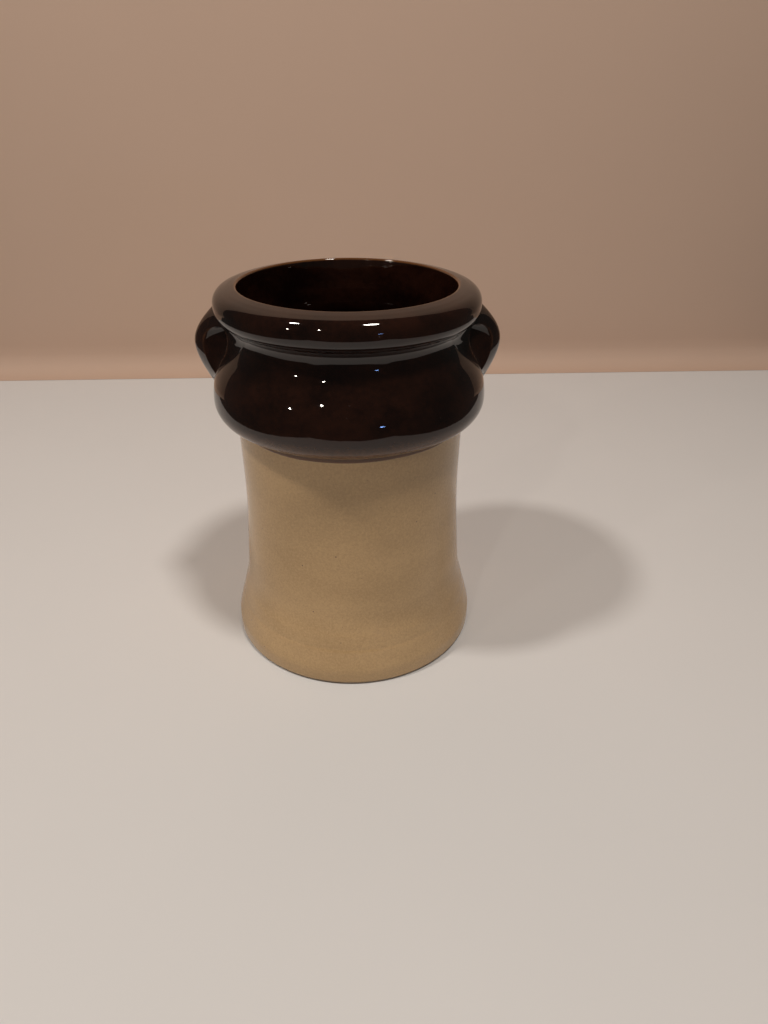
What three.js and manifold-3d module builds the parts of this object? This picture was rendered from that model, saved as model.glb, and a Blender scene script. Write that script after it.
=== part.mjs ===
// Two-tone stoneware butter crock with two ear lugs, built up in the sections that a potter lutes together.
// Millimetres, +Z up, origin at the centre of the foot's underside, ears on the X axis.
import * as THREE from 'three';
import { mergeVertices } from 'three/addons/utils/BufferGeometryUtils.js';
import Module from 'manifold-3d';

const wasm = await Module();
wasm.setup();

// Overall sizes
const HEIGHT = 190;
const FOOT_RADIUS = 66.85;
const WAIST_RADIUS = 55.8;
const BELLY_RADIUS = 66.85;
const NECK_RADIUS = 55.5;
const RIM_RADIUS = 62.5;
const MOUTH_RADIUS = 51.2;
const WALL = 6.5;
const LUTE_GAP = 0.3;

// Foot, measured up from the table
const FOOT_BAND = 8.2;
const FOOT_EDGE = 1.25;
const FOOT_GROOVE_Z = 20;
const FLARE_TOP = 34.5;
const FLARE_STEP = 3.5;
const WAIST_START = 80;
const FLOOR_THICKNESS = 7;
const FOOT_RECESS = 1.5;
const FOOT_RING_WIDTH = 8;
const FLOOR_RADIUS = 48;

// Belly, neck and rim, measured down from the top of the rim
const GLAZE_LINE_DROP = 66.2;
const WAIST_END_DROP = 63.1;
const WAIST_END_FLARE = 0.6;
const BELLY_BOTTOM_DROP = 60.4;
const BELLY_TOP_DROP = 41.5;
const NECK_BOTTOM_DROP = 26.1;
const NECK_JOINT_DROP = 21.1;
const NECK_TOP_DROP = 16.8;
const RIM_JOINT_DROP = 15.4;
const RIM_UNDERSIDE_DROP = 12.8;
const RIM_SHOULDER_DROP = 2.8;
const CROWN_DROP = 0.75;
const CROWN_WIDTH = 4.6;

// Ear lugs
const EAR_PROUD = 6.8;
const EAR_TOP_ABOVE_UNDERSIDE = 2.1;
const EAR_MIDDLE_DROP = 28;
const EAR_TIP_DROP = 46.4;
const EAR_TIP_PROUD = 1;
const RIDGE_ARM = 1 / 6;
const RIDGE_SWELL_BELOW = 0.5;
const RIDGE_SWELL_ABOVE = 0.6;
const EAR_NOSE_RADIUS = 3;
const EAR_ROOT_ANGLE = THREE.MathUtils.degToRad(40);
const EAR_ROOT_DEPTH = 3;
const DISH_HALF_WIDTH = 9;
const DISH_HALF_HEIGHT = 9.5;
const DISH_DEPTH = 4;
const DISH_PLACE = 0.38;
const DISH_ABOVE_MIDDLE = 2.5;

// Fillets of the profile, each at the corner that it rounds
const FOOT_BAND_FILLET = 14;
const FLARE_FILLET = 60;
const WAIST_START_FILLET = 400;
const WAIST_END_FILLET = 1.2;
const BELLY_BOTTOM_FILLET = 9.6;
const BELLY_TOP_FILLET = 34.8;
const NECK_BOTTOM_FILLET = 14.9;
const NECK_TOP_FILLET = 7.5;
const RIM_UNDERSIDE_FILLET = 6.3;
const RIM_ROLL_FILLET = 6.2;
const CROWN_FILLET = 12;
const FLOOR_FILLET = 10;
const MOUTH_FILLET = 20;
const INNER_FILLET_MIN = 5;

// Fineness of the facets
const TURN_SEGMENTS = 48;
const FILLET_STEP = THREE.MathUtils.degToRad(15);
const EAR_LEVELS = 11;
const EAR_SECTION_STEPS = 5;
const DISH_SEGMENTS = 16;
const DISH_RINGS = 10;

// Heights that follow from the sizes above
const floorTop = FOOT_RECESS + FLOOR_THICKNESS;
const glazeLine = HEIGHT - GLAZE_LINE_DROP;
const neckJoint = HEIGHT - NECK_JOINT_DROP;
const rimJoint = HEIGHT - RIM_JOINT_DROP;

const brownGlaze = new THREE.MeshStandardMaterial({ color: 0x2a130d, roughness: 0.12, metalness: 0 });
const creamGlaze = new THREE.MeshStandardMaterial({ color: 0xb39a78, roughness: 0.32, metalness: 0 });
const bareClay = new THREE.MeshStandardMaterial({ color: 0x9c8364, roughness: 0.85, metalness: 0 });

// A corner of a profile: radius from the axis, height, and the fillet that rounds it.
function corner(radius, height, fillet = 0) {
  return { at: new THREE.Vector2(radius, height), fillet };
}

// Angle by which the profile turns at a corner.
function turnAt(before, middle, after) {
  const arriving = middle.at.clone().sub(before.at).normalize();
  const leaving = after.at.clone().sub(middle.at).normalize();
  return Math.acos(THREE.MathUtils.clamp(arriving.dot(leaving), -1, 1));
}

// The arc that rounds one corner and starts and ends at the given reach from it.
function filletArc(before, { at }, after, turn, reach) {
  if (reach === 0) return [at];
  const back = before.at.clone().sub(at).normalize();
  const ahead = after.at.clone().sub(at).normalize();
  const radius = reach / Math.tan(turn / 2);
  const inward = back.clone().add(ahead).normalize();
  const centre = at.clone().addScaledVector(inward, radius / Math.cos(turn / 2));
  const startAngle = at.clone().addScaledVector(back, reach).sub(centre).angle();
  const clockwise = back.cross(ahead) > 0;
  const endAngle = startAngle + (clockwise ? -turn : turn);
  const arc = new THREE.EllipseCurve(centre.x, centre.y, radius, radius, startAngle, endAngle, clockwise);
  return arc.getPoints(Math.ceil(turn / FILLET_STEP));
}

// The polyline through the corners with every fillet drawn as an arc; two that would overlap shrink together.
function roundedProfile(corners) {
  const last = corners.length - 1;
  const turns = corners.map((middle, i) => (
    i === 0 || i === last ? 0 : turnAt(corners[i - 1], middle, corners[i + 1])
  ));
  const reaches = corners.map(({ fillet }, i) => fillet * Math.tan(turns[i] / 2));
  const shares = corners.slice(1).map(({ at }, i) => (
    Math.min(1, at.distanceTo(corners[i].at) / (reaches[i] + reaches[i + 1]))
  ));
  const rounded = corners.slice(1, -1).flatMap((middle, i) => {
    const reach = reaches[i + 1] * Math.min(shares[i], shares[i + 1]);
    return filletArc(corners[i], middle, corners[i + 2], turns[i + 1], reach);
  });
  return [corners[0].at, ...rounded, corners[last].at];
}

// The corners moved square to the profile, to the left of its direction when distance is positive.
function insetCorners(corners, distance) {
  const normals = corners.slice(1).map((next, i) => {
    const along = next.at.clone().sub(corners[i].at).normalize();
    return new THREE.Vector2(-along.y, along.x);
  });
  return corners.map(({ at, fillet }, i) => {
    const before = normals[Math.max(i - 1, 0)];
    const after = normals[Math.min(i, normals.length - 1)];
    const mitre = before.clone().add(after).multiplyScalar(distance / (1 + before.dot(after)));
    const bulges = before.cross(after) > 0;
    const rounding = Math.max(fillet + (bulges ? -distance : distance), INNER_FILLET_MIN);
    return { at: at.clone().add(mitre), fillet: rounding };
  });
}

// Radius of a profile at a height; the profile rises all the way.
function radiusAt(profile, height) {
  const upper = profile.findIndex((point) => point.y >= height);
  if (upper <= 0) return profile.at(upper).x;
  const [a, b] = [profile[upper - 1], profile[upper]];
  return THREE.MathUtils.lerp(a.x, b.x, (height - a.y) / (b.y - a.y));
}

// The stretch of a rising profile between two heights, with its two end points added.
function stretch(profile, low, high) {
  const margin = LUTE_GAP / 2;
  const between = profile.filter((point) => point.y > low + margin && point.y < high - margin);
  return [
    new THREE.Vector2(radiusAt(profile, low), low),
    ...between,
    new THREE.Vector2(radiusAt(profile, high), high),
  ];
}

function turned(points) {
  return new THREE.LatheGeometry(points, TURN_SEGMENTS).rotateX(Math.PI / 2);
}

// A ring of the pot between two heights, outside then inside; at the mouth the two meet in an arris.
function ring(low, high) {
  const outside = stretch(outerProfile, low, high);
  const inside = stretch(innerProfile, low, high).reverse();
  return turned([...outside, ...inside.slice(high < HEIGHT ? 0 : 1), outside[0]]);
}

function solidOf(geometry) {
  geometry.deleteAttribute('normal');
  geometry.deleteAttribute('uv');
  const welded = mergeVertices(geometry);
  const vertProperties = new Float32Array(welded.attributes.position.array);
  const triVerts = new Uint32Array(welded.index.array);
  return new wasm.Manifold(new wasm.Mesh({ numProp: 3, vertProperties, triVerts }));
}

function geometryOf(solid) {
  const { vertProperties, triVerts } = solid.getMesh();
  const geometry = new THREE.BufferGeometry();
  geometry.setAttribute('position', new THREE.BufferAttribute(vertProperties, 3));
  geometry.setIndex(new THREE.BufferAttribute(triVerts, 1));
  return geometry;
}

// A closed mesh through rings of points, each ring of the same length, with a flat cap at both ends.
function lofted(rings) {
  const size = rings[0].length;
  const index = [];
  for (let level = 1; level < rings.length; level += 1) {
    for (let i = 0; i < size; i += 1) {
      const [a, b] = [(level - 1) * size + i, (level - 1) * size + ((i + 1) % size)];
      index.push(a, b, b + size, a, b + size, a + size);
    }
  }
  const last = (rings.length - 1) * size;
  for (let i = 1; i < size - 1; i += 1) {
    index.push(0, i + 1, i);
    index.push(last, last + i, last + i + 1);
  }
  const geometry = new THREE.BufferGeometry().setFromPoints(rings.flat());
  geometry.setIndex(index);
  return geometry;
}

const bodyCorners = [
  corner(FOOT_RADIUS, FOOT_BAND, FOOT_BAND_FILLET),
  corner(WAIST_RADIUS + FLARE_STEP, FLARE_TOP, FLARE_FILLET),
  corner(WAIST_RADIUS, WAIST_START, WAIST_START_FILLET),
  corner(WAIST_RADIUS + WAIST_END_FLARE, HEIGHT - WAIST_END_DROP, WAIST_END_FILLET),
  corner(BELLY_RADIUS, HEIGHT - BELLY_BOTTOM_DROP, BELLY_BOTTOM_FILLET),
  corner(BELLY_RADIUS, HEIGHT - BELLY_TOP_DROP, BELLY_TOP_FILLET),
  corner(NECK_RADIUS, HEIGHT - NECK_BOTTOM_DROP, NECK_BOTTOM_FILLET),
  corner(NECK_RADIUS, HEIGHT - NECK_TOP_DROP, NECK_TOP_FILLET),
];

const outerProfile = roundedProfile([
  corner(FOOT_RADIUS - FOOT_EDGE, 0),
  corner(FOOT_RADIUS, FOOT_EDGE),
  ...bodyCorners,
  corner(RIM_RADIUS, HEIGHT - RIM_UNDERSIDE_DROP, RIM_UNDERSIDE_FILLET),
  corner(RIM_RADIUS, HEIGHT - RIM_SHOULDER_DROP, RIM_ROLL_FILLET),
  corner(MOUTH_RADIUS + CROWN_WIDTH, HEIGHT - CROWN_DROP, CROWN_FILLET),
  corner(MOUTH_RADIUS, HEIGHT),
]);

const innerProfile = roundedProfile([
  corner(FLOOR_RADIUS, floorTop),
  corner(FOOT_RADIUS - WALL, floorTop, FLOOR_FILLET),
  ...insetCorners(bodyCorners, WALL).slice(1, -1),
  corner(NECK_RADIUS - WALL, HEIGHT - NECK_TOP_DROP, MOUTH_FILLET),
  corner(MOUTH_RADIUS, HEIGHT),
]);

// Disc that closes the bottom, set a little above the table inside the foot ring.
function baseDisc() {
  const radius = FLOOR_RADIUS - LUTE_GAP;
  return turned([
    new THREE.Vector2(0, FOOT_RECESS),
    new THREE.Vector2(radius, FOOT_RECESS),
    new THREE.Vector2(radius, floorTop),
    new THREE.Vector2(0, floorTop),
  ]);
}

// Foot ring: stands on a flat annulus, with the recess of the base inside it and the flare above it.
function footRing() {
  const outside = stretch(outerProfile, 0, FOOT_GROOVE_Z);
  const inside = stretch(innerProfile, floorTop, FOOT_GROOVE_Z).reverse();
  const standInner = FOOT_RADIUS - FOOT_EDGE - FOOT_RING_WIDTH;
  return turned([
    ...outside,
    ...inside,
    new THREE.Vector2(FLOOR_RADIUS, FOOT_RECESS),
    new THREE.Vector2(standInner - FOOT_RECESS, FOOT_RECESS),
    new THREE.Vector2(standInner, 0),
    outside[0],
  ]);
}

// The whole pot filled to its axis and grown by the luting gap, which the ears are cut to.
function potForm() {
  const grown = insetCorners(
    outerProfile.map((point) => corner(point.x, point.y)),
    -LUTE_GAP,
  ).map(({ at }) => at);
  return solidOf(turned([
    new THREE.Vector2(0, grown[0].y),
    ...grown,
    new THREE.Vector2(0, grown.at(-1).y),
  ]));
}

// An ear stands on the X axis as a wedge: its nose follows a curved ridge and its faces run back to the pot.
function ear() {
  const topZ = HEIGHT - RIM_UNDERSIDE_DROP + EAR_TOP_ABOVE_UNDERSIDE;
  const middleZ = HEIGHT - EAR_MIDDLE_DROP;
  const tipZ = HEIGHT - EAR_TIP_DROP;
  const reach = Math.max(BELLY_RADIUS, RIM_RADIUS) + EAR_PROUD;
  const tip = new THREE.Vector2(radiusAt(outerProfile, tipZ) + EAR_TIP_PROUD, tipZ);
  const middle = new THREE.Vector2(reach, middleZ);
  const top = new THREE.Vector2(radiusAt(outerProfile, topZ) + EAR_TIP_PROUD, topZ);
  const ridge = new THREE.CurvePath();
  const arm = (topZ - tipZ) * RIDGE_ARM;
  ridge.add(new THREE.CubicBezierCurve(
    tip,
    new THREE.Vector2(THREE.MathUtils.lerp(tip.x, reach, RIDGE_SWELL_BELOW), tipZ + arm),
    new THREE.Vector2(reach, middleZ - arm),
    middle,
  ));
  ridge.add(new THREE.CubicBezierCurve(
    middle,
    new THREE.Vector2(reach, middleZ + arm),
    new THREE.Vector2(THREE.MathUtils.lerp(top.x, reach, RIDGE_SWELL_ABOVE), topZ - arm),
    top,
  ));
  const rings = ridge.getSpacedPoints(EAR_LEVELS - 1).map((point) => earSection(point, tipZ, topZ));
  const root = earRoot(middleZ, tipZ, topZ);
  const wedge = solidOf(lofted(rings)).subtract(potForm());
  return wedge.subtract(dish(1, middle, root)).subtract(dish(-1, middle, root));
}

// Angle from the X axis at which the faces of the ear meet the pot; it narrows to nothing at the lower tip.
function rootAngle(height, tipZ, topZ) {
  return EAR_ROOT_ANGLE * Math.sqrt(Math.max((height - tipZ) / (topZ - tipZ), 0));
}

// Root of one face of the ear, sunk a little below the surface of the pot.
function earRoot(height, tipZ, topZ) {
  const surface = height > neckJoint ? NECK_RADIUS : radiusAt(outerProfile, height);
  const angle = rootAngle(height, tipZ, topZ);
  const radius = surface - EAR_ROOT_DEPTH;
  return new THREE.Vector2(radius * Math.cos(angle), radius * Math.sin(angle));
}

// Plan section of the ear at one height: a hyperbola with the nose's radius, whose arms reach the roots.
function earSection(ridgePoint, tipZ, topZ) {
  const root = earRoot(ridgePoint.y, tipZ, topZ);
  const depth = ridgePoint.x - root.x;
  const slopeSquared = Math.max(root.y ** 2 - 2 * EAR_NOSE_RADIUS * depth, 0) / depth ** 2;
  const side = [];
  for (let step = 0; step <= EAR_SECTION_STEPS; step += 1) {
    const back = depth * (step / EAR_SECTION_STEPS) ** 2;
    const half = Math.sqrt(slopeSquared * back ** 2 + 2 * EAR_NOSE_RADIUS * back);
    side.push(new THREE.Vector3(ridgePoint.x - back, half, ridgePoint.y));
  }
  const mirrored = side.slice(1).map(({ x, y, z }) => new THREE.Vector3(x, -y, z)).reverse();
  return [...mirrored, ...side];
}

// Thumb hollow in one face of the ear: an ellipsoid that sinks into the middle of the face.
function dish(side, middle, root) {
  const along = new THREE.Vector2(root.x - middle.x, root.y).normalize();
  const centre = new THREE.Vector2(middle.x, EAR_NOSE_RADIUS).lerp(root, DISH_PLACE);
  centre.add(new THREE.Vector2(along.y, -along.x).multiplyScalar(DISH_DEPTH));
  const geometry = new THREE.SphereGeometry(1, DISH_SEGMENTS, DISH_RINGS);
  geometry.scale(DISH_HALF_WIDTH, 2 * DISH_DEPTH, DISH_HALF_HEIGHT);
  geometry.rotateZ(side * along.angle());
  geometry.translate(centre.x, side * centre.y, middle.y + DISH_ABOVE_MIDDLE);
  return solidOf(geometry);
}

function piece(name, geometry, material) {
  const mesh = new THREE.Mesh(geometry, material);
  mesh.name = name;
  return mesh;
}

const earGeometry = geometryOf(ear());

const crock = new THREE.Group();
crock.name = 'butter_crock';
crock.add(piece('base_disc', baseDisc(), bareClay));
crock.add(piece('foot_ring', footRing(), creamGlaze));
crock.add(piece('barrel', ring(FOOT_GROOVE_Z + LUTE_GAP, glazeLine), creamGlaze));
crock.add(piece('shoulder', ring(glazeLine + LUTE_GAP, neckJoint), brownGlaze));
crock.add(piece('neck_collar', ring(neckJoint + LUTE_GAP, rimJoint), brownGlaze));
crock.add(piece('rolled_rim', ring(rimJoint + LUTE_GAP, HEIGHT), brownGlaze));
crock.add(piece('right_ear', earGeometry, brownGlaze));
const leftEar = piece('left_ear', earGeometry.clone(), brownGlaze);
leftEar.rotation.z = Math.PI;
crock.add(leftEar);

export default crock;
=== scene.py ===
import math

import bpy
import numpy as np
from bpy.props import FloatProperty, FloatVectorProperty, IntProperty, PointerProperty
from bpy.types import Operator, Panel, PropertyGroup
from mathutils import Matrix, Vector


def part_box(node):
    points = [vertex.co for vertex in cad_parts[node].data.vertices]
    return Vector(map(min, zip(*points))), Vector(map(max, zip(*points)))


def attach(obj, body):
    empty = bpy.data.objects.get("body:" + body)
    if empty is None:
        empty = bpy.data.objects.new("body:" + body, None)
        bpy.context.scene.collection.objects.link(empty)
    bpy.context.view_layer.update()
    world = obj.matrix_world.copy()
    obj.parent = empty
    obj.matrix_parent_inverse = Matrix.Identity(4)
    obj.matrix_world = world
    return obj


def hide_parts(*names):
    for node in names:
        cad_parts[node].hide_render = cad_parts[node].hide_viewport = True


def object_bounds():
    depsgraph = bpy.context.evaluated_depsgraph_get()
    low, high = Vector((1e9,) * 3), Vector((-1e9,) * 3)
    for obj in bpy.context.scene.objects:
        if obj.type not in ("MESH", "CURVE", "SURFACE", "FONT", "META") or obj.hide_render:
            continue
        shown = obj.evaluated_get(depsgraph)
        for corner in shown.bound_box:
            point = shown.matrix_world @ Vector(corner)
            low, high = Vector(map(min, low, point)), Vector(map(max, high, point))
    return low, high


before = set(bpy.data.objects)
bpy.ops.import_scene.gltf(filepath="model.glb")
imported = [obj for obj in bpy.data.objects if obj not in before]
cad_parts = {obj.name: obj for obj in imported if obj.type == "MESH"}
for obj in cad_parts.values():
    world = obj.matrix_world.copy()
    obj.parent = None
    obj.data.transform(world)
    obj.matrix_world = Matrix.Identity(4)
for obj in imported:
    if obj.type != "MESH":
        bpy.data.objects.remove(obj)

bl_info = {
    "name": "Butter crock",
    "version": (1, 0, 0),
    "blender": (4, 5, 0),
    "location": "3D View > Sidebar > Crock",
    "description": "Turns, handles and glazes a stoneware butter crock around its packed frame, and sets its stage",
    "category": "Object",
}

CAD_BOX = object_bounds()


def swept(node):
    """Distance from the axis, and height, of every vertex of a CAD node."""
    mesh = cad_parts[node].data
    points = np.empty(len(mesh.vertices) * 3)
    mesh.vertices.foreach_get("co", points)
    x, y, z = points.reshape(-1, 3).T
    return np.hypot(x, y), z


def joint(lower, upper):
    """Height at which two neighbouring pieces meet: the middle of the gap between their CAD nodes."""
    return (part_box(lower)[1].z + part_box(upper)[0].z) / 2


HEIGHT = CAD_BOX[1].z
FOOT_RADIUS = swept("foot_ring")[0].max()
BELLY_RADIUS = swept("shoulder")[0].max()
RIM_RADIUS = swept("rolled_rim")[0].max()
BORE_AT_WAIST = swept("barrel")[0].min()
BORE_AT_NECK = swept("neck_collar")[0].min()
MOUTH_RADIUS = swept("rolled_rim")[0][swept("rolled_rim")[1] > HEIGHT - 1e-5].max()
BASE_RADIUS = swept("base_disc")[0].max()
BASE_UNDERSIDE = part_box("base_disc")[0].z
FLOOR_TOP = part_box("base_disc")[1].z
FOOT_JOINT = joint("foot_ring", "barrel")
GLAZE_LINE = joint("barrel", "shoulder")
NECK_JOINT = joint("shoulder", "neck_collar")
RIM_JOINT = joint("neck_collar", "rolled_rim")
EAR_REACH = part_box("right_ear")[1].x
EAR_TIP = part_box("right_ear")[0].z
EAR_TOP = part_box("right_ear")[1].z

# Roundings of the profile, in metres, each at the corner that it rounds
FOOT_EDGE_ROUND = 0.002
FOOT_BAND_ROUND = 0.014
FLARE_ROUND = 0.06
WAIST_ROUND = 0.4
UNDER_BELLY_ROUND = 0.0012
BELLY_BOTTOM_ROUND = 0.0096
BELLY_TOP_ROUND = 0.0348
NECK_BOTTOM_ROUND = 0.0149
NECK_TOP_ROUND = 0.0075
RIM_UNDERSIDE_ROUND = 0.0063
RIM_ROLL_ROUND = 0.0062
CROWN_ROUND = 0.012
FLOOR_ROUND = 0.01
MOUTH_ROUND = 0.02
STAND_ROUND = 0.0006
LEAST_INNER_ROUND = 0.005

# Distances between neighbouring rows of points, in metres
PROFILE_STEP = 0.0002
SLAB_STEP = 0.003
DRY_STEP = 0.0004
FOOT_STEP, FOOT_INSIDE_STEP = 0.0008, 0.0015
BARREL_STEP, BARREL_INSIDE_STEP = 0.0009, 0.002
BELLY_STEP, BELLY_INSIDE_STEP = 0.0005, 0.0015
NECK_STEP, NECK_INSIDE_STEP = 0.0004, 0.001
RIM_STEP = 0.00045

# Small features of the body, in metres
GROOVE_WIDTH = 0.0013
BEAD_WIDTH = 0.0016
DRY_HEIGHT = 0.0016
WANDER_REACH = 0.005
COAT_FADES_FROM, COAT_FADES_TO = 0.0015, 0.0115
# Heights over the glaze line between which the painted light on the belly's underside fades out
UNDERSIDE_LIGHT_FADES_FROM, UNDERSIDE_LIGHT_FADES_TO = 0.004, 0.019
THICK_ON_BEND, THIN_ON_BEND = 0.007, 0.0012

# Grid of an ear: its rows and columns, how far it runs on below and above, its skin and its back, in metres
EAR_ROWS, EAR_COLUMNS = 150, 250
EAR_BELOW, EAR_ABOVE = 0.002, 0.003
EAR_SKIN = 0.00004
EAR_BACK = 0.003
ROOT_TAPER = 0.84

# Fan of rays that finds how wide an ear is at each row, the margin added, and the rows over which it is averaged
FAN_DEGREES, FAN_RAYS = 60, 1201
LEAST_HALF_ANGLE, MARGIN_ANGLE = np.radians(1.0), np.radians(0.6)
EVENED_ROWS = 9

# Where the glaze lies thin on an ear: along its nose, and on the lip round a hollow, whose edge is at 1
NOSE_ANGLE, NOSE_START, NOSE_THIN = np.radians(3.2), 0.006, 0.6
LIP_AT, LIP_WIDTH, LIP_THIN = 1.08, 0.1, 0.5
LIP_RISE, LIP_FROM, LIP_TO = 0.02, 0.1, 0.4

# Height that the lamps point at, as a share of the crock's height
LAMP_AIM = 0.6


# Properties


def length(name, description, default):
    return FloatProperty(name=name, description=description, default=default, unit="LENGTH", precision=5)


def turn(name, description, degrees):
    return FloatProperty(name=name, description=description, default=math.radians(degrees), unit="ROTATION")


def share(name, description, default):
    return FloatProperty(name=name, description=description, default=default, min=0, soft_max=1, subtype="FACTOR")


def tint(name, description, default):
    return FloatVectorProperty(
        name=name, description=description, default=default, size=3, min=0, max=1, subtype="COLOR"
    )


class CrockShape(PropertyGroup):
    """Sizes of the turned body. Heights are above the table."""

    wall: length("Wall", "Thickness of the body", 0.0065)
    foot_edge: length("Foot edge", "Small chamfer at the bottom edge", 0.00125)
    foot_band: length("Foot band", "Height to which the foot rises straight", 0.0082)
    stand_width: length("Stand width", "Width of the ring that the crock stands on", 0.008)
    flare_height: length("Flare height", "Height at which the foot has narrowed to the barrel", 0.0345)
    flare_step: length("Flare step", "How much wider the barrel is there than at the waist", 0.0035)
    waist_from: length("Waist from", "Height at which the barrel becomes straight", 0.08)
    waist_to: length("Waist to", "Height at which the barrel runs in under the belly", 0.1269)
    waist_flare: length("Waist flare", "How much wider the barrel is there than at the waist", 0.0006)
    belly_from: length("Belly from", "Height of the lower corner of the belly, before it is rounded", 0.1296)
    belly_to: length("Belly to", "Height of the upper corner of the belly, before it is rounded", 0.1485)
    neck_from: length("Neck from", "Height of the corner between the shoulder and the neck", 0.1639)
    neck_to: length("Neck to", "Height at which the neck turns out to the rim", 0.1732)
    rim_from: length("Rim from", "Height of the rim's lower edge", 0.1772)
    rim_to: length("Rim to", "Height of the rim's upper edge", 0.1872)
    crown_drop: length("Crown drop", "Fall of the rim's top from the mouth outwards", 0.00075)
    crown_width: length("Crown width", "Width of the flatter part of the rim's top", 0.0046)
    arris: length("Mouth arris", "Rounding of the edge of the mouth", 0.0009)
    groove_height: length("Groove height", "Height of the faint turned groove above the foot", 0.0203)
    groove_depth: length("Groove depth", "Depth of that groove", 0.00018)
    bead_height: length("Bead height", "Height of the faint turned bead over the groove", 0.0268)
    out_of_round: length("Out of round", "How far the mouth strays from a true circle", 0.00016)
    coat: length("Coat", "Thickness of the brown coat at its lower edge", 0.00028)
    coat_lip: length("Coat lip", "Height over which that edge rounds off", 0.0007)
    # Painted light: how much lighter brown is painted on the underside of the belly, which faces the bright table
    underside_painted_light: share("Drained", "How thin the brown coat lies at its lower edge", 0.85)
    wander: length("Wander", "How far the lower edge of the brown coat wanders", 0.00032)
    segments: IntProperty(name="Segments", description="Columns of faces round the body", default=320, min=32)


class CrockEars(PropertyGroup):
    """Sizes of the two ears."""

    proud_at_ends: length("Proud at ends", "Height of the ridge over the body at its two ends", 0.001)
    middle: length("Middle", "Height at which the ears reach out furthest", 0.162)
    nose: length("Nose radius", "Rounding of the outer edge", 0.003)
    root_angle: turn("Root angle", "Angle from the middle of an ear to its root under the rim", 43)
    root_depth: length("Root depth", "How far the faces run on into the body", 0.0004)
    root_fall: length("Root fall", "How far a face sinks into the body per radian past its root", 0.07)
    blend: length("Blend", "Rounding where an ear runs into the body", 0.0013)
    blend_at_rim: length("Blend at rim", "Rounding where an ear runs into the rim", 0.0012)
    hollow_from: length("Hollow from", "Height of the pointed lower end of a hollow", 0.15)
    hollow_to: length("Hollow to", "Height of the round upper end of a hollow", 0.1735)
    hollow_depth: length("Hollow depth", "Depth of a hollow near its top", 0.008)
    hollow_start: share("Hollow start", "Depth at its lower end as a share of that", 0.12)
    hollow_angle: turn("Hollow angle", "Angle from the middle of an ear to the lower end of a hollow", 9.5)
    hollow_lean: turn("Hollow lean", "How much further round the upper end lies", 5.5)
    hollow_width: turn("Hollow half width", "Half the angle that a hollow takes up", 8.6)


class CrockLook(PropertyGroup):
    """Colours and gloss of the finishes."""

    brown_deep: tint("Brown, thick", "Brown glaze where it lies thick", (0.0045, 0.0016, 0.0012))
    brown_warm: tint("Brown, warm", "Brown glaze where it is warmer", (0.021, 0.0068, 0.0036))
    # Also the colour of the painted light on the underside of the belly
    brown_break_and_painted_light: tint("Brown, thin", "Brown glaze where it breaks over an edge", (0.115, 0.045, 0.015))
    cream_light: tint("Cream, light", "Lighter tone of the cream glaze", (0.6, 0.395, 0.195))
    cream_dark: tint("Cream, dark", "Darker tone of the cream glaze", (0.45, 0.29, 0.135))
    cream_speck: tint("Cream specks", "Iron specks in the cream glaze", (0.1, 0.055, 0.03))
    clay_light: tint("Clay, light", "Lighter tone of the bare clay", (0.4, 0.29, 0.18))
    clay_dark: tint("Clay, dark", "Darker tone of the bare clay", (0.24, 0.16, 0.095))
    brown_rough: share("Brown roughness", "Roughness of the brown glaze", 0.022)
    cream_rough: share("Cream roughness", "Roughness of the cream glaze", 0.13)


class CrockStage(PropertyGroup):
    """The table, the wall behind it, the camera and the lights."""

    table_front: length("Table front", "Distance of the table's front edge from the crock's axis", 0.52)
    table_side: length("Table side", "Distance of the table's ends from the crock's axis, at the wall", 0.5)
    table_taper: share("Table taper", "How much narrower the table is at its front", 0.36)
    wall_behind: length("Wall behind", "Distance of the wall behind the crock", 0.42)
    table_tone: tint("Table tone", "Colour of the table", (0.74, 0.73, 0.72))
    wall_tone: tint("Wall tone", "Colour of the wall", (0.6, 0.43, 0.33))
    room_tone: tint("Room tone", "Dim light that comes from the whole room", (0.05, 0.045, 0.04))
    camera_back: length("Camera back", "Distance of the camera in front of the crock's axis", 0.3404)
    camera_up: length("Camera up", "Height of the camera over the table", 0.2692)
    camera_pitch: turn("Camera pitch", "How far the camera looks down", 31.01)
    camera_yaw: turn("Camera yaw", "How far the camera looks to the right", 2.91)
    camera_roll: turn("Camera roll", "How far the camera is turned about its line of sight", 0.22)
    camera_lens: FloatProperty(
        name="Lens", description="Focal length of the camera", default=25.14, unit="CAMERA"
    )


# Shapes


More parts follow.
